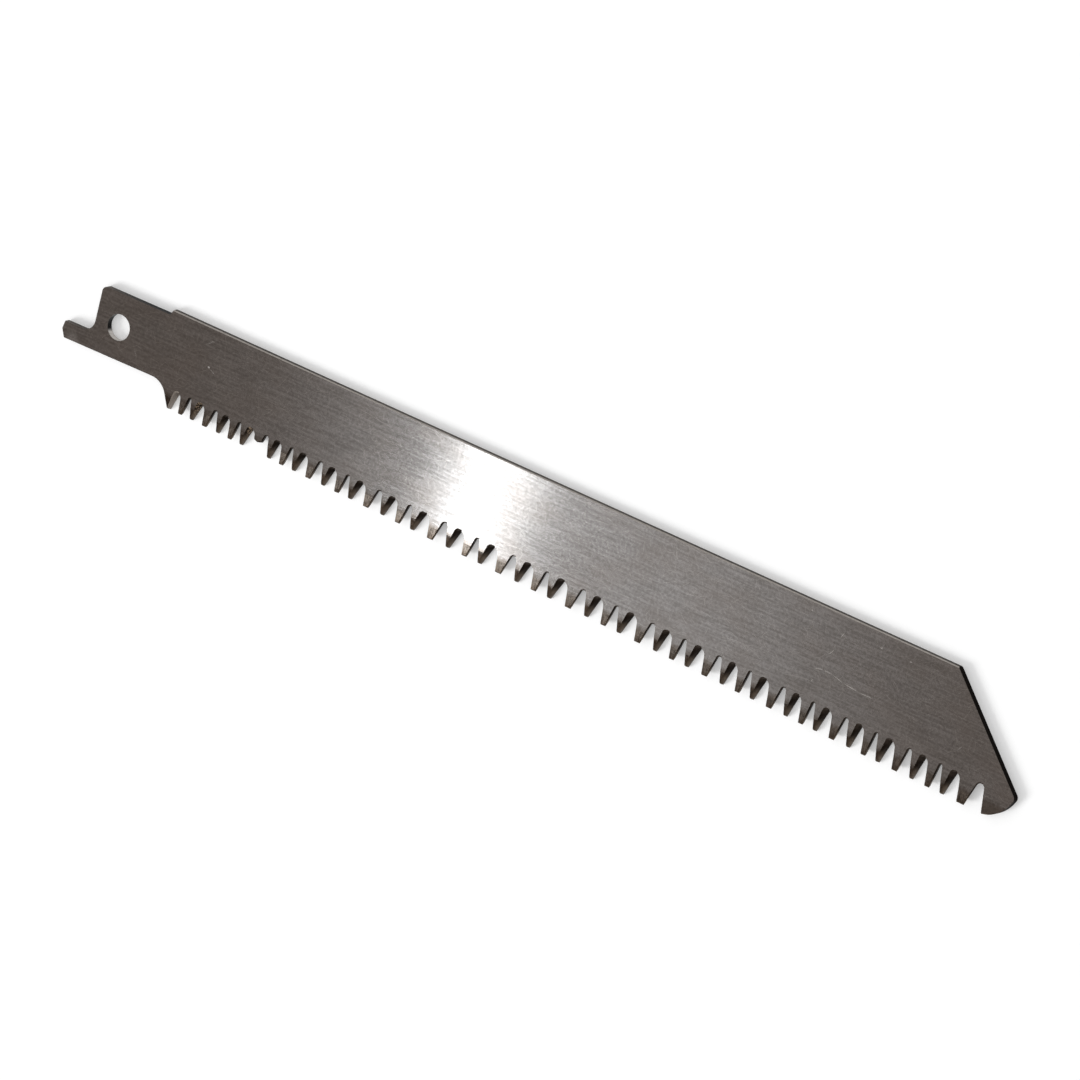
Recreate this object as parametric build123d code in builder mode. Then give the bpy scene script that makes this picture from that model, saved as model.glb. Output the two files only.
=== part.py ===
from build123d import *
import os
from math import cos, pi, radians, sin, tan

# Reciprocating saw blade: one flat steel plate with a notched shank and ground, set teeth.
# Lengths are in millimetres and angles in degrees.
# The origin is on the axis of the shank's hole, on the underside of the plate.
# X runs along the stroke from the shank to the tip, Y from the teeth to the spine, Z up through the plate.

# Plate
overall_length = 228.1
plate_thickness = 1.3

# Shank
hole_diameter = 5.1
shank_width = 12.7
hole_to_lower_edge = 6.2
hole_to_shoulder = 5.4
shoulder_corner_radius = 1.0
finger_reach = 12.25
finger_width = 3.15
finger_end_offset = 0.3
finger_corner_run = 0.8
finger_corner_rise = 1.6
notch_radius = 2.4

# Spine and tip
hole_to_step = 10.6
step_run = 0.5
step_height = 1.1
spine_fall = 0.75
tip_cut_angle = 46.5
tip_corner_drop = 14.65
tip_corner_radius = 1.0
nose_lean = 25.0

# Tooth line and heel
tooth_count = 53
first_tooth_x = 14.4
end_tooth_setback = 6.35
end_gap = 5.7
first_tooth_drop = 10.95
tooth_line_fall = 2.6
heel_gullet_depth = 3.7
tip_gullet_depth = 5.35
heel_lean = 24.0
heel_radius = 4.0
rake_angle = 6.5

# Spacing: close at the heel, opening to a steady pitch, with a slow swell and a rhythm of four teeth
heel_spacing_share = 0.74
opening_tooth_count = 18
swell_share = 0.06
swell_tooth_count = 34
spacing_rhythm_shares = (1.00, 0.87, 1.08, 1.05)

# Relief flanks, as shares of the gap to the next tooth: at the tip and at the root, front and back
narrow_front_shares = (0.09, 0.40)
narrow_back_shares = (0.12, 0.62)
broad_front_shares = (0.28, 0.65)
broad_back_shares = (0.15, 0.55)
narrow_rounding_shares = (0.33, 0.62)
broad_rounding_shares = (0.58, 0.40)

# Set: each tooth is bent at a line above its tip, in turn to the back and to the front
bend_height = 2.4
set_amount = 0.2

# Bevel across each tip, which leaves the tooth's point on the side that it is set to
tip_bevel = 15.0

# Damage: one tooth near the heel has snapped off short, along a slanting break
broken_tooth_index = 7
stump_height = 1.75
stump_slant = 0.4
break_low_share = 0.2
break_high_share = 0.4

# How far the cutting and trimming shapes run past the metal
trim_clearance = 0.5
gullet_clearance = 1.2

# Lines that the plate is built on
lower_edge_y = -hole_to_lower_edge
upper_edge_y = lower_edge_y + shank_width
nose_x = overall_length - finger_reach
end_tooth_x = nose_x - end_tooth_setback
spine_start = (hole_to_step + step_run, upper_edge_y + step_height)
spine_slope = tan(radians(spine_fall))
tooth_slope = tan(radians(tooth_line_fall))
cut_depth = set_amount + trim_clearance


def tip_y(x):
    """Height of the tooth line at a place along the blade."""
    return -first_tooth_drop - (x - first_tooth_x) * tooth_slope


def bend_y(x):
    """Height of the line that the teeth are bent along."""
    return tip_y(x) + bend_height / cos(radians(tooth_line_fall))


def root_y(x):
    """Height of the gullets' roots, which lie deeper towards the tip."""
    along = (x - first_tooth_x) / (end_tooth_x - first_tooth_x)
    return tip_y(x) + heel_gullet_depth + along * (tip_gullet_depth - heel_gullet_depth)


def spacing(index):
    """Gap after a tooth, as a share of the steady pitch."""
    opening = heel_spacing_share + (1 - heel_spacing_share) * min(index / opening_tooth_count, 1)
    wave = 1 - swell_share * sin(2 * pi * index / swell_tooth_count)
    return opening * wave * spacing_rhythm_shares[index % len(spacing_rhythm_shares)]


# Places of the teeth along the blade, each at the point of its rake edge
spacings = [spacing(index) for index in range(tooth_count - 2)]
steady_pitch = (end_tooth_x - end_gap - first_tooth_x) / sum(spacings)
tooth_x = [first_tooth_x]
for gap_share in spacings:
    tooth_x.append(tooth_x[-1] + gap_share * steady_pitch)
tooth_x.append(end_tooth_x)


def is_broad(index):
    """Broad teeth, set to the front, take turns with narrow ones, set to the back."""
    return index % 2 == 1


def along_gap(index, share):
    """Place at a share of the gap between a tooth and the next one."""
    return tooth_x[index] + share * (tooth_x[index + 1] - tooth_x[index])


def gullet_outline(index, height):
    """Outline of the gullet after a tooth, at a height through the plate, with a rounded root."""
    if is_broad(index):
        front, back, rounding = broad_front_shares, broad_back_shares, broad_rounding_shares
    else:
        front, back, rounding = narrow_front_shares, narrow_back_shares, narrow_rounding_shares
    through = height / plate_thickness
    tip_share = back[0] + through * (front[0] - back[0])
    root_share = back[1] + through * (front[1] - back[1])

    middle_x = along_gap(index, 0.5)
    foot_y = tip_y(middle_x) - gullet_clearance
    top_y = root_y(middle_x)
    depth = top_y - tip_y(middle_x)
    below = gullet_clearance / depth
    flank_foot = along_gap(index, tip_share - below * (root_share - tip_share))
    flank_root = along_gap(index, root_share)
    rake_root = tooth_x[index + 1] - depth * tan(radians(rake_angle))
    rake_foot = tooth_x[index + 1] + gullet_clearance * tan(radians(rake_angle))
    root_width = rake_root - flank_root

    with BuildSketch(Plane.XY.offset(height)) as outline:
        with BuildLine():
            Polyline(
                (flank_foot, foot_y),
                (flank_root, top_y),
                (rake_root, top_y),
                (rake_foot, foot_y),
                close=True,
            )
        make_face()
        for corner_x, share in ((flank_root, rounding[0]), (rake_root, rounding[1])):
            corner = outline.vertices().sort_by_distance((corner_x, top_y, height))[0]
            fillet(corner, radius=share * root_width)
    return outline.sketch


# Blade's outline, without its gullets
finger_top_y = lower_edge_y + finger_width
corner_centre = (nose_x - tip_corner_radius, -tip_corner_drop)
cut_end = (
    corner_centre[0] + tip_corner_radius * sin(radians(tip_cut_angle)),
    corner_centre[1] + tip_corner_radius * cos(radians(tip_cut_angle)),
)
cut_slope = tan(radians(tip_cut_angle))
cut_start_x = (
    cut_end[1] + cut_end[0] * cut_slope - spine_start[1] - spine_start[0] * spine_slope
) / (cut_slope - spine_slope)
cut_start = (cut_start_x, spine_start[1] - (cut_start_x - spine_start[0]) * spine_slope)
heel_corner_x = first_tooth_x - (lower_edge_y + first_tooth_drop) * tan(radians(heel_lean))
heel_foot_x = first_tooth_x + gullet_clearance * tan(radians(heel_lean))

with BuildSketch(Plane.XY.offset(-cut_depth)) as outline:
    with BuildLine():
        Polyline(
            (heel_foot_x, tip_y(first_tooth_x) - gullet_clearance),
            (heel_corner_x, lower_edge_y),
            (finger_corner_run - finger_reach, lower_edge_y),
            (-finger_reach, lower_edge_y + finger_corner_rise),
            (finger_end_offset - finger_reach, finger_top_y),
            (-hole_to_shoulder, finger_top_y),
            (-hole_to_shoulder, upper_edge_y),
            (hole_to_step, upper_edge_y),
            spine_start,
            cut_start,
            cut_end,
        )
        corner = CenterArc(
            corner_centre,
            tip_corner_radius,
            start_angle=90 - tip_cut_angle,
            arc_size=tip_cut_angle - 90 - nose_lean,
        )
        TangentArc(
            corner @ 1,
            (end_tooth_x, tip_y(end_tooth_x)),
            tangent=corner % 1,
        )
        Polyline(
            (end_tooth_x, tip_y(end_tooth_x)),
            (end_tooth_x, tip_y(end_tooth_x) - gullet_clearance),
            (heel_foot_x, tip_y(first_tooth_x) - gullet_clearance),
        )
    make_face()
    rounded_corners = (
        (heel_corner_x, lower_edge_y, heel_radius),
        (-hole_to_shoulder, finger_top_y, notch_radius),
        (-hole_to_shoulder, upper_edge_y, shoulder_corner_radius),
    )
    for corner_x, corner_y, radius in rounded_corners:
        vertex = outline.vertices().sort_by_distance((corner_x, corner_y, -cut_depth))[0]
        fillet(vertex, radius=radius)

# Places in the open gullets where one tooth's bend gives way to the next one's
span_share = 0.8
span_ends = [first_tooth_x - heel_radius] + [
    along_gap(index, span_share) for index in range(tooth_count - 1)
]


def bent_span(index):
    """Stretch of the plate's edge below the bend line, leaning and bevelled as its tooth is."""
    bevel_rise = plate_thickness * tan(radians(tip_bevel))
    lean = set_amount if is_broad(index) else -set_amount
    back_rise, front_rise = (bevel_rise, 0) if is_broad(index) else (-bevel_rise, 0)
    start_x = span_ends[index]
    span_plane = Plane(
        origin=(start_x, tip_y(start_x), 0),
        x_dir=(tooth_slope, 1, 0),
        z_dir=(1, -tooth_slope, 0),
    )
    with BuildPart() as span:
        with BuildSketch(span_plane):
            with BuildLine():
                Polyline(
                    (back_rise, lean),
                    (front_rise, plate_thickness + lean),
                    (bend_height, plate_thickness),
                    (bend_height, 0),
                    close=True,
                )
            make_face()
        extrude(amount=(span_ends[index + 1] - start_x) / cos(radians(tooth_line_fall)))
    return span.part


def gullet(index):
    """Cutting shape of a gullet, slanted through the plate as its grinding left it."""
    with BuildPart() as cut:
        loft(
            [gullet_outline(index, -cut_depth), gullet_outline(index, plate_thickness + cut_depth)],
            ruled=True,
        )
    return cut.part


bent_spans = [bent_span(index) for index in range(tooth_count - 1)]
gullets = [gullet(index) for index in range(tooth_count - 1)]

with BuildPart() as blade:
    # Flat strip above the bend line, and down past the tooth line from the last gullet on
    strip_start_x = -finger_reach - trim_clearance
    strip_end_x = nose_x + trim_clearance
    strip_top_y = spine_start[1] + trim_clearance
    strip_foot_y = tip_y(strip_end_x) - trim_clearance
    with BuildSketch():
        with BuildLine():
            Polyline(
                (strip_start_x, bend_y(strip_start_x)),
                (strip_start_x, strip_top_y),
                (strip_end_x, strip_top_y),
                (strip_end_x, strip_foot_y),
                (span_ends[-1], strip_foot_y),
                (span_ends[-1], bend_y(span_ends[-1])),
                close=True,
            )
        make_face()
    extrude(amount=plate_thickness)

    # Bent edge, trimming to the outline, and gullets
    add(bent_spans)
    extrude(outline.sketch, amount=plate_thickness + 2 * cut_depth, mode=Mode.INTERSECT)
    add(gullets, mode=Mode.SUBTRACT)

    # Hole for the clamp's pin
    with Locations((0, 0, plate_thickness)):
        Hole(radius=hole_diameter / 2)

    # Break of the snapped tooth, across its own gap from one gullet to the next
    break_start_x = along_gap(broken_tooth_index - 1, span_share)
    break_end_x = along_gap(broken_tooth_index, span_share)
    break_y = root_y(break_start_x) - stump_height
    with BuildSketch(Plane.XY.offset(-cut_depth)):
        with BuildLine():
            Polyline(
                (break_start_x, break_y + stump_slant),
                (along_gap(broken_tooth_index, break_low_share), break_y - stump_slant / 2),
                (along_gap(broken_tooth_index, break_high_share), break_y),
                (break_end_x, break_y + stump_slant),
                (break_end_x, tip_y(break_end_x) - gullet_clearance),
                (break_start_x, tip_y(break_start_x) - gullet_clearance),
                close=True,
            )
        make_face()
    extrude(amount=plate_thickness + 2 * cut_depth, mode=Mode.SUBTRACT)

blade.part.label = "blade"

os.makedirs("parts", exist_ok=True)
export_step(blade.part, "parts/blade.step")
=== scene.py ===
"""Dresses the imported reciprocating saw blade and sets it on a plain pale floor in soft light."""

import logging
import math
from dataclasses import dataclass
from enum import Enum
from typing import Any

import bmesh
import bpy
from mathutils import Matrix, Vector


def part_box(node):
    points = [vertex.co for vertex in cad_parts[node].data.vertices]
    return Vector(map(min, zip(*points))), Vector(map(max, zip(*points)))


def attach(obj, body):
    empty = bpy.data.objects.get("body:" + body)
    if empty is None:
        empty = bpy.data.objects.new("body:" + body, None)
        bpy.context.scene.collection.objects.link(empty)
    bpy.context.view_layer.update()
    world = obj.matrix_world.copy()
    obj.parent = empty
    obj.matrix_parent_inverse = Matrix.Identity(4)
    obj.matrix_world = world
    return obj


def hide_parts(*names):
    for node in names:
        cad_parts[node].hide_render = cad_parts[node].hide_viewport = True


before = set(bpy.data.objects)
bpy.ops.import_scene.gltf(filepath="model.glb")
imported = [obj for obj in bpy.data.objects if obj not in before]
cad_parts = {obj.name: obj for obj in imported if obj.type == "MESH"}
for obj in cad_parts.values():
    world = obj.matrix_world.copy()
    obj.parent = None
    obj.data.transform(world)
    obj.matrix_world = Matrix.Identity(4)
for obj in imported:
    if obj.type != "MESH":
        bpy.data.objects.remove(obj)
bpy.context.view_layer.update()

log = logging.getLogger("scene")

MM = 0.001
NODE = "blade"
BODY = "root"

# Where the blade ends along X, in millimetres
END_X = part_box(NODE)[1].x / MM

# Sockets of the Mix node when it mixes colours, which shares its names with its number sockets
MIX_FACTOR = 0
MIX_FIRST = 6
MIX_SECOND = 7
MIX_RESULT = 2


def linear(colour: str) -> tuple[float, float, float, float]:
    """Turns an sRGB hex colour into the linear colour that shaders use.

    Args:
        colour: The colour as #rrggbb.

    Returns:
        Red, green, blue and an alpha of 1.
    """
    values = [int(colour[place : place + 2], 16) / 255 for place in (1, 3, 5)]
    curved = [v / 12.92 if v <= 0.04045 else ((v + 0.055) / 1.055) ** 2.4 for v in values]
    return (*curved, 1.0)


def add_node(
    tree: bpy.types.NodeTree,
    kind: str,
    inputs: dict[str | int, Any] | None = None,
    **settings: Any,
) -> bpy.types.Node:
    """Adds one node with its settings, its constants and its links.

    Args:
        tree: The node tree that gets the node.
        kind: The node's type.
        inputs: A constant, or the socket to link from, for each input by name or number.
        **settings: The node's own properties.

    Returns:
        The new node.
    """
    node = tree.nodes.new(kind)
    for name, value in settings.items():
        setattr(node, name, value)
    for name, value in (inputs or {}).items():
        if isinstance(value, bpy.types.NodeSocket):
            tree.links.new(value, node.inputs[name])
        else:
            node.inputs[name].default_value = value
    return node


def new_material(name: str) -> tuple[bpy.types.Material, bpy.types.NodeTree]:
    """Makes a material with an empty node tree.

    Args:
        name: The material's name.

    Returns:
        The material and its tree.
    """
    material = bpy.data.materials.new(name)
    material.use_nodes = True
    material.node_tree.nodes.clear()
    return material, material.node_tree


def per_mm(*sizes: float) -> tuple[float, float, float]:
    """Scales of a Mapping node for a pattern whose features have these sizes in millimetres."""
    across = sizes if len(sizes) == 3 else (sizes[0],) * 3
    return tuple(1 / (size * MM) for size in across)


def pattern(
    tree: bpy.types.NodeTree,
    coordinates: bpy.types.NodeSocket,
    sizes: tuple[float, ...],
    detail: float,
) -> bpy.types.NodeSocket:
    """Adds an uneven pattern whose features have the given sizes.

    Args:
        tree: The material's tree.
        coordinates: Object coordinates.
        sizes: One size for all axes, or one for each axis, in millimetres.
        detail: How finely the pattern is broken up.

    Returns:
        The pattern's value, around 0.5.
    """
    place = add_node(
        tree, "ShaderNodeMapping", {"Vector": coordinates, "Scale": per_mm(*sizes)}
    )
    return add_node(
        tree,
        "ShaderNodeTexNoise",
        {"Vector": place.outputs["Vector"], "Scale": 1.0, "Detail": detail},
    ).outputs["Fac"]


class Zone(Enum):
    """Parts of the blade's surface that were made in different ways.

    A tooth's face is set toward or away as seen from its own side of the blade.
    """

    FACE = "face"
    BACK = "back"
    TOOTH_TOWARD = "tooth_toward"
    TOOTH_AWAY = "tooth_away"
    GULLET = "gullet"
    SPINE = "spine"
    SPINE_RIM = "spine_rim"
    SHANK_EDGE = "shank_edge"
    HOLE = "hole"
    TIP_CUT = "tip_cut"


# The zones of the ground faces, whose corners with the cut walls are worn
FLAT_ZONES = {Zone.FACE, Zone.BACK, Zone.TOOTH_TOWARD, Zone.TOOTH_AWAY}


class Blend(Enum):
    """How a fade's colour joins the surface's colour."""

    COVER = "MIX"
    TINT = "MULTIPLY"


@dataclass(frozen=True)
class Fade:
    """A straight fade to another colour across part of the blade.

    Attributes:
        colour: The colour that it fades to.
        towards: Direction of the fade.
        start: Where it starts along that direction, in millimetres.
        end: Where it is complete, in millimetres.
        ragged: How far its edge wanders, in millimetres.
        blend: Whether it covers the surface's colour or tints it.
        tongues: Sizes of the tongues along a ragged edge, in millimetres.
    """

    colour: str
    towards: tuple[float, float, float]
    start: float
    end: float
    ragged: float = 0.0
    blend: Blend = Blend.COVER
    tongues: tuple[float, float, float] = (0.7, 1.6, 1.6)

    def over(
        self,
        tree: bpy.types.NodeTree,
        coordinates: bpy.types.NodeSocket,
        colour: bpy.types.NodeSocket,
    ) -> bpy.types.NodeSocket:
        """Adds the fade's nodes.

        Args:
            tree: The material's tree.
            coordinates: Object coordinates.
            colour: The colour that it fades from.

        Returns:
            The faded colour.
        """
        place = add_node(
            tree,
            "ShaderNodeVectorMath",
            {0: coordinates, 1: self.towards},
            operation="DOT_PRODUCT",
        ).outputs["Value"]
        if self.ragged:
            noise = pattern(tree, coordinates, self.tongues, 2.0)
            wander = add_node(
                tree,
                "ShaderNodeMath",
                {0: noise, 1: self.ragged * MM, 2: -self.ragged * MM / 2},
                operation="MULTIPLY_ADD",
            ).outputs["Value"]
            place = add_node(
                tree, "ShaderNodeMath", {0: place, 1: wander}, operation="ADD"
            ).outputs["Value"]
        share = add_node(
            tree,
            "ShaderNodeMapRange",
            {"Value": place, "From Min": self.start * MM, "From Max": self.end * MM},
            interpolation_type="SMOOTHSTEP",
        ).outputs["Result"]
        return add_node(
            tree,
            "ShaderNodeMix",
            {MIX_FACTOR: share, MIX_FIRST: colour, MIX_SECOND: linear(self.colour)},
            data_type="RGBA",
            blend_type=self.blend.value,
        ).outputs[MIX_RESULT]


@dataclass(frozen=True)
class ToothLine:
    """Where the line of the tooth tips runs, in millimetres.

    Attributes:
        first_x: Place of the first tip along the blade.
        first_drop: How far the first tip is below the hole's axis.
        fall: Angle at which the line falls away towards the nose, in degrees.
    """

    first_x: float = 14.4
    first_drop: float = 10.95
    fall: float = 2.6

    def fade(
        self,
        colour: str,
        start: float,
        end: float,
        ragged: float = 0.0,
        blend: Blend = Blend.COVER,
    ) -> Fade:
        """Makes a fade that runs between two heights above the tips.

        Args:
            colour: The colour that it fades to.
            start: Height at which it starts.
            end: Height at which it is complete.
            ragged: How far its edge wanders.
            blend: Whether it covers the surface's colour or tints it.

        Returns:
            The fade, which runs down for an end below the start, and up for one above it.
        """
        slope = math.tan(math.radians(self.fall))
        foot = self.first_x * slope - self.first_drop
        way = 1 if end > start else -1
        return Fade(
            colour, (slope * way, way, 0), (foot + start) * way, (foot + end) * way, ragged, blend
        )


@dataclass(frozen=True)
class ScratchLayer:
    """One layer of the fine curved scratches that tumbling leaves, one scratch in each cell.

    The scratches are drawn several times as wide as real ones, which are too fine to show.

    Attributes:
        cell: Size of a cell, in millimetres.
        width: Half width of a scratch, in millimetres.
        spread: How far the scratches turn away from the blade's length, in degrees.
        curve: How far a scratch bows over one cell, as a share of the cell.
        empty: Share of the cells that hold no scratch.
    """

    cell: float
    width: float
    spread: float
    curve: float
    empty: float

    def mask(
        self, tree: bpy.types.NodeTree, coordinates: bpy.types.NodeSocket
    ) -> bpy.types.NodeSocket:
        """Adds the layer's nodes.

        Args:
            tree: The material's tree.
            coordinates: Object coordinates.

        Returns:
            The mask, which is 1 on a scratch.
        """
        # Each layer looks at its own stretch of the cells
        place = add_node(
            tree,
            "ShaderNodeMapping",
            {"Vector": coordinates, "Location": (self.cell, self.spread, 0),
             "Scale": per_mm(self.cell)},
        ).outputs["Vector"]
        cells = add_node(
            tree, "ShaderNodeTexVoronoi", {"Vector": place, "Scale": 1.0}, voronoi_dimensions="2D"
        )
        chance = add_node(tree, "ShaderNodeSeparateColor", {"Color": cells.outputs["Color"]})
        offset = add_node(
            tree,
            "ShaderNodeVectorMath",
            {0: place, 1: cells.outputs["Position"]},
            operation="SUBTRACT",
        ).outputs["Vector"]
        turn = add_node(
            tree,
            "ShaderNodeMapRange",
            {"Value": chance.outputs["Red"], "To Min": -math.radians(self.spread),
             "To Max": math.radians(self.spread)},
        ).outputs["Result"]
        turned = add_node(
            tree,
            "ShaderNodeVectorRotate",
            {"Vector": offset, "Angle": turn},
            rotation_type="Z_AXIS",
        ).outputs["Vector"]
        axes = add_node(tree, "ShaderNodeSeparateXYZ", {"Vector": turned})
        square = add_node(
            tree, "ShaderNodeMath", {0: axes.outputs["X"], 1: 2.0}, operation="POWER"
        ).outputs["Value"]
        bow = add_node(
            tree,
            "ShaderNodeMapRange",
            {"Value": chance.outputs["Green"], "To Min": -self.curve, "To Max": self.curve},
        ).outputs["Result"]
        beside = add_node(
            tree,
            "ShaderNodeMath",
            {0: square, 1: bow, 2: axes.outputs["Y"]},
            operation="MULTIPLY_ADD",
        ).outputs["Value"]
        distance = add_node(
            tree, "ShaderNodeMath", {0: beside}, operation="ABSOLUTE"
        ).outputs["Value"]
        depth = add_node(
            tree,
            "ShaderNodeMapRange",
            {"Value": chance.outputs["Blue"], "From Min": self.empty, "From Max": 1.0},
        ).outputs["Result"]
        return add_node(
            tree,
            "ShaderNodeMapRange",
            {"Value": distance, "From Max": self.width / self.cell,
             "To Min": depth, "To Max": 0.0},
            interpolation_type="SMOOTHSTEP",
        ).outputs["Result"]


@dataclass(frozen=True)
class Mark:
    """One straight stretch of a deeper scratch, or a small dent where both ends are close.

    Attributes:
        start: Where it starts on the face, in millimetres.
        end: Where it ends.
        width: Half width, in millimetres.
        strength: How clearly it shows, up to 1.
        core: Share of the half width that shows at full strength.
    """

    start: tuple[float, float]
    end: tuple[float, float]
    width: float = 0.11
    strength: float = 1.0
    core: float = 0.3

    def mask(
        self, tree: bpy.types.NodeTree, coordinates: bpy.types.NodeSocket
    ) -> bpy.types.NodeSocket:
        """Adds the mark's nodes.

        Args:
            tree: The material's tree.
            coordinates: Object coordinates.

        Returns:
            The mask, which is 1 along the mark's middle.
        """
        start = Vector((*self.start, 0))
        run = Vector((*self.end, 0)) - start
        half = run.length / 2 + self.width
        place = add_node(
            tree,
            "ShaderNodeMapping",
            {"Vector": coordinates, "Location": (start + run / 2) * MM,
             "Rotation": (0, 0, math.atan2(run.y, run.x)),
             "Scale": (half * MM, self.width * MM, 1)},
            vector_type="TEXTURE",
        ).outputs["Vector"]
        flat = add_node(
            tree, "ShaderNodeVectorMath", {0: place, 1: (1, 1, 0)}, operation="MULTIPLY"
        ).outputs["Vector"]
        reach = add_node(
            tree, "ShaderNodeVectorMath", {0: flat}, operation="LENGTH"
        ).outputs["Value"]
        return add_node(
            tree,
            "ShaderNodeMapRange",
            {"Value": reach, "From Min": self.core, "From Max": 1.0,
             "To Min": self.strength, "To Max": 0.0},
            interpolation_type="SMOOTHSTEP",
        ).outputs["Result"]


def strongest(
    tree: bpy.types.NodeTree, masks: list[bpy.types.NodeSocket]
) -> bpy.types.NodeSocket:
    """Joins masks so that the strongest one shows at each place.

    Args:
        tree: The material's tree.
        masks: The masks.

    Returns:
        The joined mask.
    """
    joined = masks[0]
    for mask in masks[1:]:
        joined = add_node(
            tree, "ShaderNodeMath", {0: joined, 1: mask}, operation="MAXIMUM"
        ).outputs["Value"]
    return joined


@dataclass(frozen=True)
class GroundSteel:
    """Carbon tool steel strip, surface ground along its length and then tumbled.

    Grinding gives it streaks along the blade that stretch a highlight's edges. Tumbling laid
    fine curved scratches over them, and handling left a faint brown bloom. The streaks are
    drawn several times as wide as real ones, which are too fine to show.

    Attributes:
        name: The material's name.
        colour: Clean steel.
        dull: Steel where the grinding streaks and the mottling are darkest.
        bloom: Steel under the faint brown bloom.
        bright: Steel laid bare by a scratch.
        roughness: Roughness between the scratches.
        streaks: Length, width and depth of the grinding streaks, in millimetres.
        grain: Size of the fine mottling, in millimetres.
        patches: Length, width and depth of the bloom's patches, in millimetres.
        bloom_share: How much the thickest bloom covers.
        scratch_share: How much bare steel shows in the clearest scratch.
        bloom_roughness: How far the bloom moves the roughness either way.
        streak_roughness: How far the streaks spread the roughness.
        scratch_roughness: What a tumbling scratch adds to the roughness.
        lip_roughness: What the raised lips of a deeper scratch add to it.
        relief: Height of the ground surface, in millimetres.
        scratch_depth: Depth of a tumbling scratch, as a share of the relief.
        layers: The tumbling scratches.
        marks: Single deeper scratches.
        fades: Fades over the steel, such as towards the tooth tips.
    """

    name: str
    colour: str = "#d3d3d4"
    dull: str = "#adacab"
    bloom: str = "#b5aca5"
    bright: str = "#f4f3f1"
    roughness: float = 0.15
    streaks: tuple[float, float, float] = (7.0, 0.4, 0.4)
    grain: float = 0.6
    patches: tuple[float, float, float] = (11.0, 7.0, 7.0)
    bloom_share: float = 0.4
    scratch_share: float = 0.7
    bloom_roughness: float = 0.012
    streak_roughness: float = 0.004
    scratch_roughness: float = 0.003
    lip_roughness: float = 0.4
    relief: float = 0.0005
    scratch_depth: float = 0.15
    layers: tuple[ScratchLayer, ...] = (
        ScratchLayer(cell=1.3, width=0.06, spread=90, curve=0.5, empty=0.1),
        ScratchLayer(cell=2.3, width=0.06, spread=60, curve=0.6, empty=0.3),
        ScratchLayer(cell=3.7, width=0.05, spread=90, curve=0.6, empty=0.4),
        ScratchLayer(cell=7.5, width=0.07, spread=30, curve=0.4, empty=0.3),
    )
    marks: tuple[Mark, ...] = ()
    fades: tuple[Fade, ...] = ()

    def build(self) -> bpy.types.Material:
        """Makes the material.

        Returns:
            The material.
        """
        material, tree = new_material(self.name)
        coordinates = add_node(tree, "ShaderNodeTexCoord").outputs["Object"]
        streaks = pattern(tree, coordinates, self.streaks, 2.0)
        patches = pattern(tree, coordinates, self.patches, 4.0)
        scratches = strongest(tree, [layer.mask(tree, coordinates) for layer in self.layers])
        lips = None
        if self.marks:
            lips = strongest(tree, [mark.mask(tree, coordinates) for mark in self.marks])

        colour = self.surface_colour(tree, coordinates, streaks, patches, scratches, lips)
        roughness = self.surface_roughness(tree, streaks, patches, scratches, lips)
        height = add_node(
            tree,
            "ShaderNodeMath",
            {0: scratches, 1: -self.scratch_depth, 2: streaks},
            operation="MULTIPLY_ADD",
        ).outputs["Value"]
        bump = add_node(
            tree, "ShaderNodeBump",
            {"Height": height, "Strength": 1.0, "Distance": self.relief * MM},
        ).outputs["Normal"]
        shader = add_node(
            tree,
            "ShaderNodeBsdfPrincipled",
            {"Base Color": colour, "Metallic": 1.0, "Roughness": roughness, "Normal": bump},
        )
        add_node(tree, "ShaderNodeOutputMaterial", {"Surface": shader.outputs["BSDF"]})
        return material

    def surface_colour(
        self,
        tree: bpy.types.NodeTree,
        coordinates: bpy.types.NodeSocket,
        streaks: bpy.types.NodeSocket,
        patches: bpy.types.NodeSocket,
        scratches: bpy.types.NodeSocket,
        lips: bpy.types.NodeSocket | None,
    ) -> bpy.types.NodeSocket:
        """Adds the steel's colour.

        Args:
            tree: The material's tree.
            coordinates: Object coordinates.
            streaks: The grinding streaks.
            patches: Where bloom has settled.
            scratches: The tumbling scratches.
            lips: The deeper scratches, if there are any.

        Returns:
            The colour.
        """
        # Noise keeps near 0.5, so the ranges below are narrower than 0 to 1
        grain = pattern(tree, coordinates, (self.grain,), 3.0)
        uneven = add_node(
            tree, "ShaderNodeMath", {0: streaks, 1: grain}, operation="ADD"
        ).outputs["Value"]
        clean = add_node(
            tree, "ShaderNodeMapRange", {"Value": uneven, "From Min": 0.75, "From Max": 1.25}
        ).outputs["Result"]
        bloom = add_node(
            tree,
            "ShaderNodeMapRange",
            {"Value": patches, "From Min": 0.42, "From Max": 0.75, "To Max": self.bloom_share},
        ).outputs["Result"]
        bare = add_node(
            tree, "ShaderNodeMath", {0: scratches, 1: self.scratch_share}, operation="MULTIPLY"
        ).outputs["Value"]
        coats = [(clean, self.colour), (bloom, self.bloom), (bare, self.bright)]
        if lips is not None:
            coats.append((lips, self.bright))
        colour: Any = linear(self.dull)
        for share, coat in coats:
            colour = add_node(
                tree,
                "ShaderNodeMix",
                {MIX_FACTOR: share, MIX_FIRST: colour, MIX_SECOND: linear(coat)},
                data_type="RGBA",
            ).outputs[MIX_RESULT]
        for fade in self.fades:
            colour = fade.over(tree, coordinates, colour)
        return colour

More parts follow.
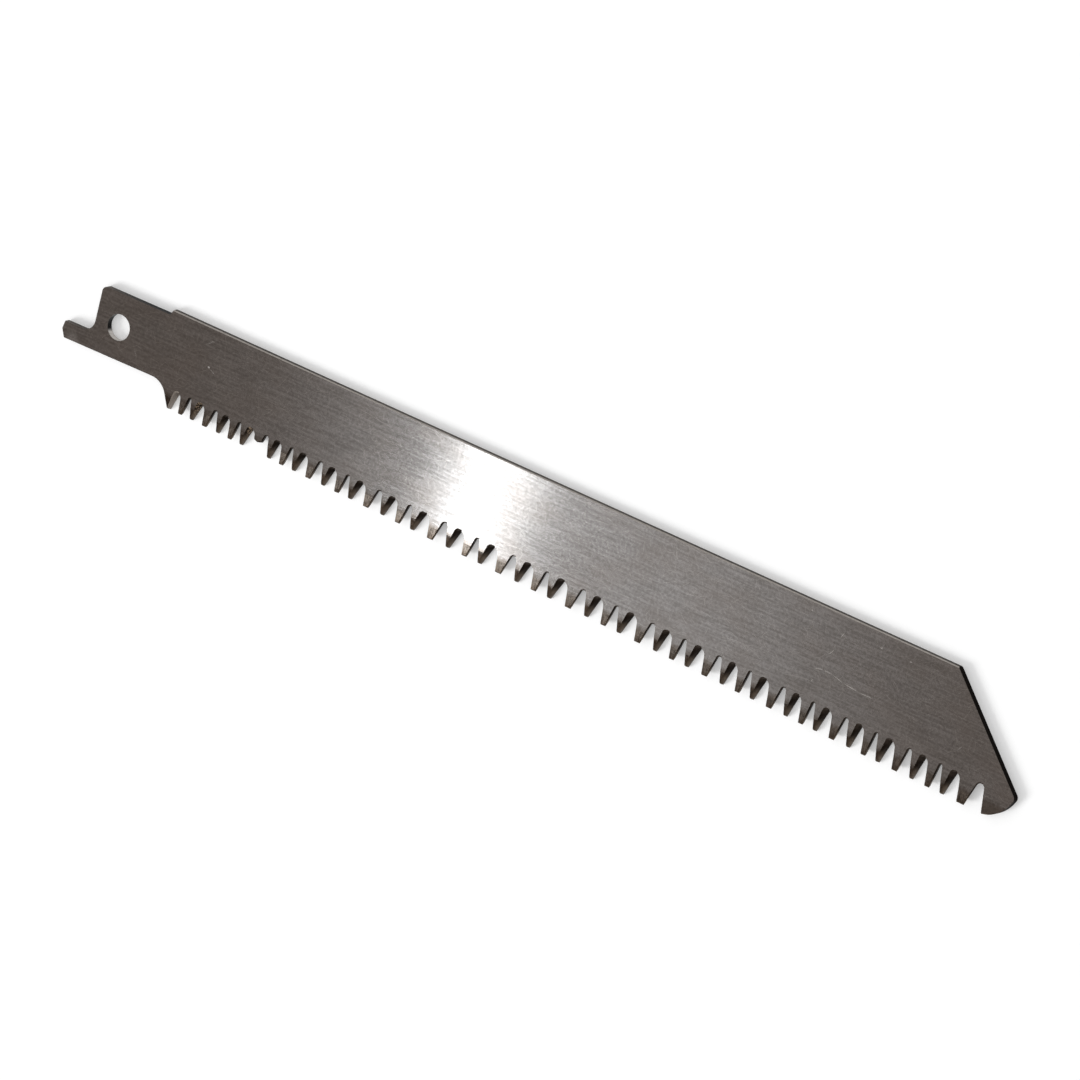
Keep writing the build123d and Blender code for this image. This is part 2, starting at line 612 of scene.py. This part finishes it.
    def surface_roughness(
        self,
        tree: bpy.types.NodeTree,
        streaks: bpy.types.NodeSocket,
        patches: bpy.types.NodeSocket,
        scratches: bpy.types.NodeSocket,
        lips: bpy.types.NodeSocket | None,
    ) -> bpy.types.NodeSocket:
        """Adds the steel's roughness.

        Args:
            tree: The material's tree.
            streaks: The grinding streaks.
            patches: Where bloom has settled.
            scratches: The tumbling scratches.
            lips: The deeper scratches, if there are any.

        Returns:
            The roughness.
        """
        # The bloom roughens the steel a little, which makes a highlight's edges cloudy
        low = self.roughness - self.bloom_roughness - self.streak_roughness / 2
        high = self.roughness + self.bloom_roughness - self.streak_roughness / 2
        roughness = add_node(
            tree,
            "ShaderNodeMapRange",
            {"Value": patches, "From Min": 0.25, "From Max": 0.75, "To Min": low, "To Max": high},
        ).outputs["Result"]
        layers = [(streaks, self.streak_roughness), (scratches, self.scratch_roughness)]
        if lips is not None:
            layers.append((lips, self.lip_roughness))
        for mask, added in layers:
            roughness = add_node(
                tree,
                "ShaderNodeMath",
                {0: mask, 1: added, 2: roughness},
                operation="MULTIPLY_ADD",
            ).outputs["Value"]
        return roughness


@dataclass(frozen=True)
class RustSpecks:
    """Specks of dry rust that the coolant left on a cut wall.

    Attributes:
        x: Middle of the speckled stretch, in millimetres.
        reach: How far the specks reach on either side.
        speck: Size of a speck.
        colour: The rust.
    """

    x: float
    reach: float = 0.9
    speck: float = 0.3
    colour: str = "#8c7a66"

    def over(
        self,
        tree: bpy.types.NodeTree,
        coordinates: bpy.types.NodeSocket,
        colour: bpy.types.NodeSocket,
    ) -> bpy.types.NodeSocket:
        """Adds the specks' nodes.

        Args:
            tree: The material's tree.
            coordinates: Object coordinates.
            colour: The wall's colour.

        Returns:
            The speckled colour.
        """
        along = add_node(tree, "ShaderNodeSeparateXYZ", {"Vector": coordinates}).outputs["X"]
        away = add_node(
            tree, "ShaderNodeMath", {0: along, 1: self.x * MM}, operation="SUBTRACT"
        ).outputs["Value"]
        away = add_node(tree, "ShaderNodeMath", {0: away}, operation="ABSOLUTE").outputs["Value"]
        near = add_node(
            tree,
            "ShaderNodeMapRange",
            {"Value": away, "From Min": self.reach / 2 * MM, "From Max": self.reach * MM,
             "To Min": 1.0, "To Max": 0.0},
        ).outputs["Result"]
        specks = pattern(tree, coordinates, (self.speck,), 3.0)
        # A narrow range gives each speck a clear edge
        shown = add_node(
            tree, "ShaderNodeMapRange", {"Value": specks, "From Min": 0.48, "From Max": 0.56}
        ).outputs["Result"]
        share = add_node(
            tree, "ShaderNodeMath", {0: near, 1: shown}, operation="MULTIPLY"
        ).outputs["Value"]
        return add_node(
            tree,
            "ShaderNodeMix",
            {MIX_FACTOR: share, MIX_FIRST: colour, MIX_SECOND: linear(self.colour)},
            data_type="RGBA",
        ).outputs[MIX_RESULT]


@dataclass(frozen=True)
class CutEdge:
    """Carbon tool steel where the strip was sheared or the gullets were ground.

    The cut's burnt scale makes it near black and dull, with paler rubbed places.

    Attributes:
        name: The material's name.
        colour: The scale.
        rubbed: Where the scale has worn thin.
        roughness: Roughness of the scale.
        metallic: How much bare metal shows.
        gloss: Specular level of the scale between the metal.
        spots: Sizes of the rubbed places, in millimetres.
        spread: How far the roughness varies either way.
        relief: Height of the scale, in millimetres.
        fades: Fades and rust over the scale, from the first laid to the last.
    """

    name: str
    colour: str = "#14100d"
    rubbed: str = "#2e2620"
    roughness: float = 0.5
    metallic: float = 0.5
    gloss: float = 0.15
    spots: tuple[float, float, float] = (0.5, 0.5, 1.4)
    spread: float = 0.1
    relief: float = 0.02
    fades: tuple[Fade | RustSpecks, ...] = ()

    def build(self) -> bpy.types.Material:
        """Makes the material.

        Returns:
            The material.
        """
        material, tree = new_material(self.name)
        coordinates = add_node(tree, "ShaderNodeTexCoord").outputs["Object"]
        worn = pattern(tree, coordinates, self.spots, 3.0)
        colour = add_node(
            tree,
            "ShaderNodeMix",
            {MIX_FACTOR: worn, MIX_FIRST: linear(self.colour), MIX_SECOND: linear(self.rubbed)},
            data_type="RGBA",
        ).outputs[MIX_RESULT]
        for fade in self.fades:
            colour = fade.over(tree, coordinates, colour)
        bump = add_node(
            tree, "ShaderNodeBump",
            {"Height": worn, "Strength": 0.5, "Distance": self.relief * MM},
        ).outputs["Normal"]
        roughness = add_node(
            tree,
            "ShaderNodeMapRange",
            {"Value": worn, "To Min": self.roughness + self.spread,
             "To Max": self.roughness - self.spread},
        ).outputs["Result"]
        shader = add_node(
            tree,
            "ShaderNodeBsdfPrincipled",
            {"Base Color": colour, "Metallic": self.metallic, "Roughness": roughness,
             "Specular IOR Level": self.gloss, "Normal": bump},
        )
        add_node(tree, "ShaderNodeOutputMaterial", {"Surface": shader.outputs["BSDF"]})
        return material


@dataclass
class SawBlade:
    """The blade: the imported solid's own surface, with a finish on each zone.

    Lengths are in millimetres.

    Attributes:
        weld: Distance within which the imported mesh's loose corners are joined.
        facet_angle: Angle below which neighbouring facets become one face, in degrees.
        hole_reach: How far the hole's wall is from its axis at most.
        step_x: Where the shank ends and the spine starts.
        heel_x: Where the shank's lower edge gives way to the heel and the teeth.
        tip_reach: Length of the blade's end that holds the tip cut.
        nose_reach: Length of the blade's end that holds the rounded nose.
        flat: Least share of Z in the normal of a flat face.
        bent: Least share of Z in the normal of a bent tooth's face.
        upright: Most share of Z in the normal of the spine's wall, past which it is a worn corner.
        slanted: Least share of X and of Y in the normal of the tip's straight cut.
        spine_rim: Size of the spine's worn corners.
        gullet_rim: Size of the rim that grinding left round each gullet.
        rimmed_side: Direction of the gullet walls that have the rim, which face the tip.
        rimmed_share: How nearly a rimmed wall faces that way, up to 1.
        line: The line of the tooth tips.
        marks: The deeper scratches and dents on the front face.
    """

    weld: float = 1e-4
    facet_angle: float = 0.3
    hole_reach: float = 3.0
    step_x: float = 10.9
    heel_x: float = 14.6
    tip_reach: float = 40.0
    nose_reach: float = 5.0
    flat: float = 0.9995
    bent: float = 0.98
    upright: float = 0.1
    slanted: float = 0.3
    spine_rim: float = 0.2
    gullet_rim: float = 0.3
    rimmed_side: tuple[float, float, float] = (0.87, -0.5, 0)
    rimmed_share: float = 0.2
    line: ToothLine = ToothLine()
    marks: tuple[Mark, ...] = (
        Mark((166.5, -6.6), (169.0, -6.1)),
        Mark((169.0, -6.1), (171.0, -6.3)),
        Mark((171.0, -6.3), (173.7, -7.0)),
        Mark((173.7, -7.0), (177.5, -7.4), width=0.16),
        Mark((177.5, -7.4), (181.0, -7.5)),
        Mark((169.1, -3.0), (170.3, -1.6)),
        Mark((170.8, 0.8), (171.6, 2.4)),
        Mark((166.8, -9.3), (167.1, -8.6)),
        Mark((131.3, 4.9), (132.2, 1.9)),
        Mark((163.4, 3.8), (163.6, 3.8), width=0.2),
        Mark((180.0, 2.4), (180.3, 2.4), width=0.2),
        Mark((186.9, 2.2), (187.2, 2.2), width=0.2),
        Mark((21.5, -0.1), (21.7, -0.1), width=0.25),
        Mark((21.7, -0.2), (23.5, -1.1), width=0.1, strength=0.35),
        Mark((19.5, 3.6), (22.0, 5.5), width=0.12, strength=0.3),
        Mark((-0.7, -2.9), (2.8, -4.6), width=0.1, strength=0.2),
        Mark((4.4, -2.6), (5.6, -4.3), width=0.15, strength=0.25),
        Mark((201.3, -10.1), (202.2, -9.0), width=0.12, strength=0.5),
        Mark((-10.2, -5.3), (-8.8, -5.8), width=1.5, strength=0.22),
    )

    def build(self) -> bpy.types.Object:
        """Builds the dressed blade and seats it on its body.

        Returns:
            The blade.
        """
        mesh = bpy.data.meshes.new("saw_blade")
        shape = bmesh.new()
        shape.from_mesh(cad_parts[NODE].data)
        bmesh.ops.remove_doubles(shape, verts=shape.verts, dist=self.weld * MM)
        bmesh.ops.dissolve_limit(
            shape,
            angle_limit=math.radians(self.facet_angle),
            verts=shape.verts,
            edges=shape.edges,
        )
        self.wear_corners(shape, Zone.SPINE, self.spine_rim, 1, Vector())
        self.wear_corners(shape, Zone.GULLET, self.gullet_rim, 2, Vector(self.rimmed_side))
        self.dress(shape)
        shape.to_mesh(mesh)
        shape.free()
        finishes = self.finishes()
        for zone in Zone:
            mesh.materials.append(finishes[zone])
        piece = bpy.data.objects.new("saw_blade", mesh)
        bpy.context.scene.collection.objects.link(piece)
        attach(piece, BODY)
        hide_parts(NODE)
        return piece

    def wear_corners(
        self, shape: bmesh.types.BMesh, wall: Zone, size: float, steps: int, side: Vector
    ) -> None:
        """Wears the corners between the flat faces and the walls of one zone.

        Args:
            shape: The blade's mesh.
            wall: The walls' zone.
            size: Size of the worn corner, in millimetres.
            steps: Faces across it.
            side: Direction that the walls face, or no direction for every wall of the zone.
        """
        corners = []
        for edge in shape.edges:
            zones = {self.zone_of(face): face for face in edge.link_faces}
            if wall in zones and zones.keys() & FLAT_ZONES:
                if zones[wall].normal.dot(side) >= self.rimmed_share * side.length:
                    corners.append(edge)
        bmesh.ops.bevel(
            shape,
            geom=corners,
            offset=size * MM,
            affect="EDGES",
            segments=steps,
            profile=0.5,
            material=-1,
        )

    def finishes(self) -> dict[Zone, bpy.types.Material]:
        """Makes the finish of each zone.

        Returns:
            The material of each zone.
        """
        # The wheel that ground the teeth left its lines across the blade
        tooth_streaks = (0.25, 4.0, 4.0)
        stain = self.line.fade("#cfc8c1", start=3.6, end=2.4, ragged=1.4, blend=Blend.TINT)
        return {
            Zone.FACE: GroundSteel(
                "tool_steel_ground_and_tumbled",
                marks=self.marks,
                fades=(stain,),
            ).build(),
            Zone.BACK: GroundSteel("tool_steel_ground_back", fades=(stain,)).build(),
            Zone.TOOTH_TOWARD: GroundSteel(
                "tool_steel_tooth_face",
                colour="#e4e3e1",
                dull="#8d8b89",
                roughness=0.24,
                streaks=tooth_streaks,
                fades=(
                    self.line.fade("#c9c1b9", start=3.6, end=2.4, ragged=1.4, blend=Blend.TINT),
                    self.line.fade("#d6cdc4", start=2.0, end=0.0, ragged=0.6, blend=Blend.TINT),
                ),
            ).build(),
            Zone.TOOTH_AWAY: GroundSteel(
                "tool_steel_tooth_face_set_away",
                colour="#e4e3e1",
                dull="#8d8b89",
                roughness=0.34,
                streaks=tooth_streaks,
                fades=(
                    self.line.fade("#786a5f", start=3.4, end=1.8, ragged=0.8, blend=Blend.TINT),
                ),
            ).build(),
            Zone.GULLET: CutEdge(
                "tool_steel_ground_gullet",
                colour="#453a30",
                rubbed="#675a4d",
                fades=(
                    # Burnt darkest halfway up, and a little paler at the top
                    self.line.fade("#20170f", start=1.0, end=2.9),
                    self.line.fade("#3a312a", start=3.6, end=4.5),
                    # The first gullet is paler
                    Fade("#8c837b", towards=(-1, 0, 0), start=-17.4, end=-16.4),
                    RustSpecks(x=21.3),
                    RustSpecks(x=33.8),
                ),
            ).build(),
            Zone.SPINE: CutEdge(
                "tool_steel_slit_spine", colour="#2b2622", rubbed="#4a433d", metallic=1.0
            ).build(),
            Zone.SPINE_RIM: CutEdge(
                "tool_steel_worn_corner",
                colour="#8f8983",
                rubbed="#c3bdb7",
                roughness=0.3,
                metallic=1.0,
            ).build(),
            Zone.SHANK_EDGE: CutEdge(
                "tool_steel_sheared_shank",
                colour="#3f3833",
                rubbed="#554d47",
                # Darker towards the step
                fades=(Fade("#080706", towards=(1, 0, 0), start=-6.0, end=6.0),),
            ).build(),
            Zone.HOLE: CutEdge(
                "tool_steel_punched_hole",
                colour="#f0ece8",
                rubbed="#a8a29b",
                roughness=0.35,
                metallic=1.0,
                # The punch left the wall bright. The dark fade on the side next to the spine is
                # painted shade: that side mirrors the shadowed floor inside the hole
                fades=(Fade("#0d0b09", towards=(-0.5, 0.85, 0), start=-0.6, end=0.4),),
            ).build(),
            Zone.TIP_CUT: CutEdge(
                "tool_steel_sheared_tip", colour="#0a0604", rubbed="#120c08", gloss=0.0
            ).build(),
        }

    def zone_of(self, face: bmesh.types.BMFace) -> Zone:
        """Says how a face of the blade was made, from its normal and its place.

        Args:
            face: A face of the blade's mesh.

        Returns:
            The face's zone.
        """
        normal = face.normal
        centre = face.calc_center_median() / MM
        if abs(normal.z) > self.flat:
            return Zone.FACE if normal.z > 0 else Zone.BACK
        if centre.y < 0 and abs(normal.z) > self.bent:
            return Zone.TOOTH_AWAY if normal.y < 0 else Zone.TOOTH_TOWARD
        if centre.xy.length < self.hole_reach:
            return Zone.HOLE
        if centre.x > self.step_x and centre.y > 0 and normal.y > normal.x:
            return Zone.SPINE if abs(normal.z) < self.upright else Zone.SPINE_RIM
        if centre.x < self.heel_x:
            return Zone.SHANK_EDGE
        from_end = END_X - centre.x
        if min(normal.x, normal.y) > self.slanted and from_end < self.tip_reach:
            return Zone.TIP_CUT
        if normal.x > 0 and from_end < self.nose_reach:
            return Zone.TIP_CUT
        return Zone.GULLET

    def dress(self, shape: bmesh.types.BMesh) -> None:
        """Gives each face the material number of its zone, and marks it flat.

        Args:
            shape: The blade's mesh.
        """
        numbers = {zone: number for number, zone in enumerate(Zone)}
        for face in shape.faces:
            face.material_index = numbers[self.zone_of(face)]
            face.smooth = False


@dataclass
class PhotoCamera:
    """The camera at the photograph's viewing angle, with a long lens, nearly without perspective.

    Attributes:
        azimuth: Direction to the camera about Z, where 0 looks along +Y, in degrees.
        elevation: Height of that direction above the floor, in degrees.
        roll: Turn of the camera about its own axis, in degrees.
        target: Point of the front face in the middle of the picture, in millimetres.
        width: What the picture's width takes in at the target, in millimetres.
        lens: Focal length, in millimetres.
    """

    azimuth: float = 120.15
    elevation: float = 54.179
    roll: float = -101.954
    target: tuple[float, float, float] = (101.763, -5.123, 1.3)
    width: float = 201.978
    lens: float = 1500.0

    def direction(self) -> Vector:
        """Works out the direction to the camera.

        Returns:
            The direction from the target, with a length of 1.
        """
        turn = math.radians(self.azimuth)
        rise = math.radians(self.elevation)
        return Vector(
            (math.sin(turn) * math.cos(rise), -math.cos(turn) * math.cos(rise), math.sin(rise))
        )

    def build(self) -> None:
        """Makes the camera and gives it to the scene."""
        data = bpy.data.cameras.new("photo_camera")
        data.lens = self.lens
        camera = bpy.data.objects.new("photo_camera", data)
        bpy.context.scene.collection.objects.link(camera)
        back = self.direction()
        level = back.to_track_quat("Z", "Y").to_matrix()
        turned = level @ Matrix.Rotation(math.radians(self.roll), 3, "Z")
        distance = self.width * self.lens / data.sensor_width
        camera.matrix_world = turned.to_4x4()
        camera.location = (Vector(self.target) + back * distance) * MM
        bpy.context.scene.camera = camera


@dataclass(frozen=True)
class MirroredLight:
    """A flat light that hangs where the plate mirrors it to the camera.

    Attributes:
        name: The light's name.
        x: Place along the plate where its middle is mirrored, in millimetres.
        distance: Distance from that place, in millimetres.
        length: Length of the light, which runs across the blade, in millimetres.
        width: Width of the light, in millimetres.
        radiance: Brightness of the light's face, where 1 is white.
        lean: How far its mirrored length leans towards the tip at the spine, in degrees.
    """

    name: str
    x: float
    distance: float
    length: float
    width: float
    radiance: float
    lean: float = 0.0

    def build(self, camera: PhotoCamera) -> None:
        """Hangs the light.

        Args:
            camera: The camera that sees it mirrored.
        """
        data = bpy.data.lights.new(self.name, "AREA")
        data.shape = "RECTANGLE"
        data.size = self.length * MM
        data.size_y = self.width * MM
        data.energy = self.radiance * math.pi * data.size * data.size_y
        back = camera.direction() * Vector((-1, -1, 1))
        lean = math.radians(self.lean)
        run = back.cross(Vector((math.sin(lean), math.cos(lean), 0))).cross(back).normalized()
        turn = Matrix((run, back.cross(run), back)).transposed()
        lamp = bpy.data.objects.new(self.name, data)
        lamp.matrix_world = turn.to_4x4()
        place = Vector((self.x, camera.target[1], camera.target[2]))
        lamp.location = (place + back * self.distance) * MM
        bpy.context.scene.collection.objects.link(lamp)


@dataclass
class Studio:
    """The floor, the world and the lamps.

    Attributes:
        floor_reach: Half the floor's width, in metres.
        floor_colour: The floor's paper.
        floor_glow: What the paper adds for the camera, so that it shows white.
        room: The dim upper room, as the steel mirrors it.
        dusk: Where the white round the horizon starts to dim, and where the dim room starts,
            as the share of Z in the direction.
        fill: The even light that reaches matt surfaces.
        key_direction: Direction to the key light.
        key_angle: Width of the key light as the blade sees it, in degrees.
        key_strength: The key light's strength.
        mirrored: The lights that the plate mirrors to the camera.
    """

    floor_reach: float = 40.0
    floor_colour: str = "#e6e6e6"
    floor_glow: float = 0.25
    room: str = "#69605a"
    dusk: tuple[float, float] = (0.22, 0.50)
    fill: float = 0.62
    key_direction: tuple[float, float, float] = (-0.92, -0.72, 0.64)
    key_angle: float = 23.0
    key_strength: float = 2.13
    mirrored: tuple[MirroredLight, ...] = (
        MirroredLight(
            "strip", x=86.6, distance=210.0, length=300.0, width=12.0, radiance=3.9, lean=8.0
        ),
        MirroredLight(
            "panel", x=129.0, distance=900.0, length=900.0, width=56.0, radiance=0.49
        ),
        MirroredLight(
            "shoulder", x=58.0, distance=260.0, length=360.0, width=16.0, radiance=0.11
        ),
    )

    def build(self, camera: PhotoCamera) -> None:
        """Builds the floor, the world and the lamps.

        Args:
            camera: The camera that the plate mirrors the lights to.
        """
        self.build_floor()
        self.build_world()
        self.build_key()
        for light in self.mirrored:
            light.build(camera)

    def build_floor(self) -> None:
        """Lays the floor at the blade's lowest point."""
        mesh = bpy.data.meshes.new("floor")
        shape = bmesh.new()
        bmesh.ops.create_grid(shape, x_segments=1, y_segments=1, size=self.floor_reach)
        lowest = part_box(NODE)[0].z
        bmesh.ops.translate(shape, verts=shape.verts, vec=(0, 0, lowest))
        shape.to_mesh(mesh)
        shape.free()
        material, tree = new_material("paper_floor")
        rays = add_node(tree, "ShaderNodeLightPath")
        seen = add_node(
            tree,
            "ShaderNodeMath",
            {0: rays.outputs["Is Camera Ray"], 1: rays.outputs["Is Glossy Ray"]},
            operation="ADD",
        )
        seen = add_node(
            tree,
            "ShaderNodeMath",
            {0: seen.outputs["Value"], 1: rays.outputs["Is Transmission Ray"]},
            operation="ADD",
        )
        glow = add_node(
            tree,
            "ShaderNodeMath",
            {0: seen.outputs["Value"], 1: self.floor_glow},
            operation="MULTIPLY",
        )
        paper = add_node(
            tree,
            "ShaderNodeBsdfPrincipled",
            {"Base Color": linear(self.floor_colour), "Roughness": 0.9,
             "Specular IOR Level": 0.0, "Emission Color": (1, 1, 1, 1),
             "Emission Strength": glow.outputs["Value"]},
        )
        # Clear from below, so that the blade's underside can be looked at
        below = add_node(tree, "ShaderNodeNewGeometry").outputs["Backfacing"]
        clear = add_node(tree, "ShaderNodeBsdfTransparent").outputs["BSDF"]
        surface = add_node(
            tree, "ShaderNodeMixShader", {0: below, 1: paper.outputs["BSDF"], 2: clear}
        )
        add_node(tree, "ShaderNodeOutputMaterial", {"Surface": surface.outputs["Shader"]})
        mesh.materials.append(material)
        floor = bpy.data.objects.new("floor", mesh)
        bpy.context.scene.collection.objects.link(floor)

    def build_world(self) -> None:
        """Makes the room: pale at the horizon, dim overhead where the steel mirrors it."""
        world = bpy.data.worlds.new("room")
        bpy.context.scene.world = world
        world.use_nodes = True
        tree = world.node_tree
        tree.nodes.clear()
        rays = add_node(tree, "ShaderNodeLightPath")
        direction = add_node(tree, "ShaderNodeTexCoord").outputs["Generated"]
        rise = add_node(tree, "ShaderNodeSeparateXYZ", {"Vector": direction}).outputs["Z"]
        overhead = add_node(
            tree,
            "ShaderNodeMapRange",
            {"Value": rise, "From Min": self.dusk[0], "From Max": self.dusk[1]},
        ).outputs["Result"]
        # The camera sees white all round, which shows only where it looks past the floor
        dim = add_node(
            tree,
            "ShaderNodeMath",
            {0: overhead, 1: rays.outputs["Is Camera Ray"]},
            operation="SUBTRACT",
            use_clamp=True,
        ).outputs["Value"]
        seen = add_node(
            tree,
            "ShaderNodeMix",
            {MIX_FACTOR: dim, MIX_FIRST: (1, 1, 1, 1), MIX_SECOND: linear(self.room)},
            data_type="RGBA",
        ).outputs[MIX_RESULT]
        colour = add_node(
            tree,
            "ShaderNodeMix",
            {MIX_FACTOR: rays.outputs["Is Diffuse Ray"], MIX_FIRST: seen,
             MIX_SECOND: (self.fill, self.fill, self.fill, 1)},
            data_type="RGBA",
        ).outputs[MIX_RESULT]
        light = add_node(tree, "ShaderNodeBackground", {"Color": colour})
        add_node(tree, "ShaderNodeOutputWorld", {"Surface": light.outputs["Background"]})

    def build_key(self) -> None:
        """Makes the broad key light from the tooth side, which casts the soft shadow."""
        data = bpy.data.lights.new("key", "SUN")
        data.angle = math.radians(self.key_angle)
        data.energy = self.key_strength
        lamp = bpy.data.objects.new("key", data)
        lamp.rotation_euler = Vector(self.key_direction).to_track_quat("Z", "Y").to_euler()
        lamp.visible_glossy = False
        bpy.context.scene.collection.objects.link(lamp)


def main() -> None:
    """Builds the blade, the camera and the studio."""
    logging.basicConfig(level=logging.INFO, format="%(name)s: %(message)s")
    scene = bpy.context.scene
    scene.view_settings.view_transform = "Standard"
    blade = SawBlade().build()
    log.info("%s: %d faces", blade.name, len(blade.data.polygons))
    camera = PhotoCamera()
    camera.build()
    Studio().build(camera)
    log.info("studio: %d lamps", len(bpy.data.lights))


if __name__ == "__main__":
    main()
